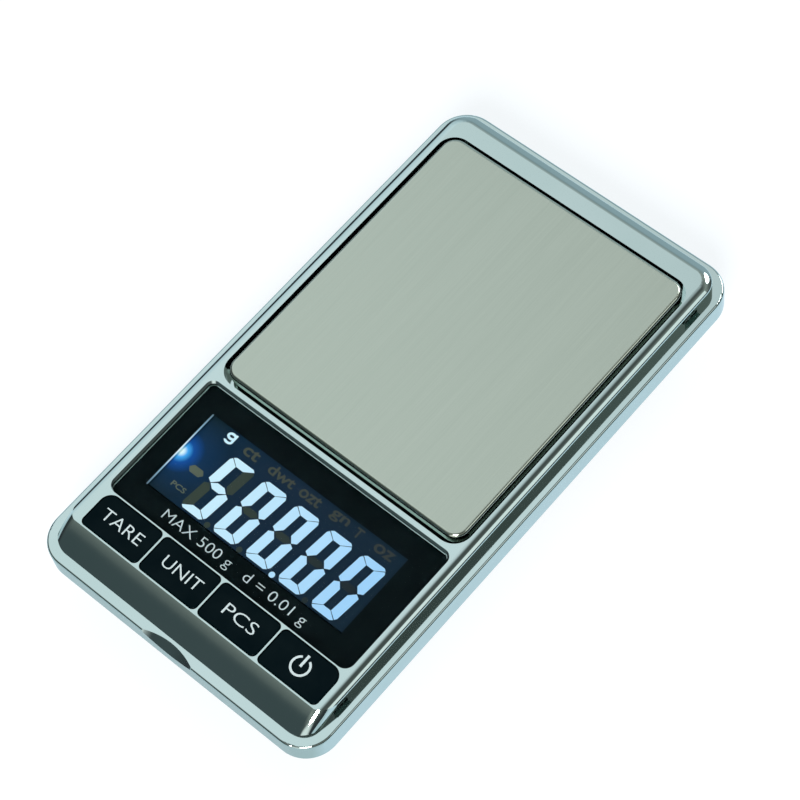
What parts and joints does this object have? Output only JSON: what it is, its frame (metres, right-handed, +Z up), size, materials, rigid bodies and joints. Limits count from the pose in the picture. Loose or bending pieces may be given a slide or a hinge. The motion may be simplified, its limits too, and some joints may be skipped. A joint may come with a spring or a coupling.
{
  "type": "digital gram scale",
  "caption": "Pocket gram scale with a chromed cover, backlit display, row of keys, brushed steel pan on a strain-gauge beam and a sliding battery door.",
  "frame": {"origin": "centre of the overall box on the plane that the feet stand on", "axes": "+X across the keys towards the power key, +Y from the keys towards the pan, +Z up out of the pan"},
  "size_m": [0.0672, 0.12, 0.0206],
  "materials": {
    "chrome_cover": "mirror chrome plating on moulded plastic",
    "window": "clear acrylic, printed black behind, polished",
    "display_glass": "display glass with dark blue polariser",
    "white_plastic": "matt moulded",
    "light_guide": "clear moulded",
    "led": "moulded lamp",
    "grey_rubber": "matt silicone",
    "circuit_board": "solder mask on glass fibre",
    "chip_plastic": "moulded package",
    "key_black": "glossy black",
    "pan_steel": "brushed along the length",
    "dark_plastic": "fine moulded texture",
    "screw_steel": "zinc plated",
    "beam_aluminium": "milled",
    "gauge_foil": "foil on amber film",
    "wire_insulation": "soft insulation",
    "cell_can": "plain steel can",
    "contact_nickel": "nickel plated spring sheet",
    "foot_rubber": "matt rubber"
  },
  "bodies": {
    "housing": {"top_cover": "chrome_cover", "display_window": "window", "lcd_panel": "display_glass", "lcd_frame": "white_plastic", "backlight_guide": "light_guide", "backlight_led": "led", "zebra_strip": "grey_rubber", "main_board": "circuit_board", "board_components": "chip_plastic", "key_mat": "grey_rubber", "load_cell": "beam_aluminium", "strain_gauges": "gauge_foil", "load_cell_screws": "screw_steel", "load_cell_wires": "wire_insulation", "overload_screw": "screw_steel", "bottom_housing": "dark_plastic", "battery_cells": "cell_can", "contact_bridge": "contact_nickel", "contact_positive": "contact_nickel", "contact_negative": "contact_nickel", "rubber_feet": "foot_rubber", "housing_screws": "screw_steel", "board_screws": "screw_steel"},
    "tare_key": {"key_tare": "key_black"},
    "unit_key": {"key_unit": "key_black"},
    "pieces_key": {"key_pieces": "key_black"},
    "power_key": {"key_power": "key_black"},
    "pan": {"weighing_pan": "pan_steel", "pan_carrier": "dark_plastic", "pan_screws": "screw_steel"},
    "door": {"battery_door": "dark_plastic"}
  },
  "joints": [
    {"name": "tare_press", "type": "slide", "parent": "housing", "child": "tare_key", "axis": [0, 0, -1], "range_m": [0, 0.0005], "stiffness_N_per_m": 3000, "deforming": ["key_mat"]},
    {"name": "unit_press", "type": "slide", "parent": "housing", "child": "unit_key", "axis": [0, 0, -1], "range_m": [0, 0.0005], "stiffness_N_per_m": 3000, "deforming": ["key_mat"]},
    {"name": "pieces_press", "type": "slide", "parent": "housing", "child": "pieces_key", "axis": [0, 0, -1], "range_m": [0, 0.0005], "stiffness_N_per_m": 3000, "deforming": ["key_mat"]},
    {"name": "power_press", "type": "slide", "parent": "housing", "child": "power_key", "axis": [0, 0, -1], "range_m": [0, 0.0005], "stiffness_N_per_m": 3000, "deforming": ["key_mat"]},
    {"name": "pan_deflection", "type": "slide", "parent": "housing", "child": "pan", "axis": [0, 0, -1], "range_m": [0, 0.0004], "stiffness_N_per_m": 12000, "deforming": ["load_cell"]},
    {"name": "door_slide", "type": "slide", "parent": "housing", "child": "door", "axis": [1, 0, 0], "range_m": [0, 0.053]}
  ]
}
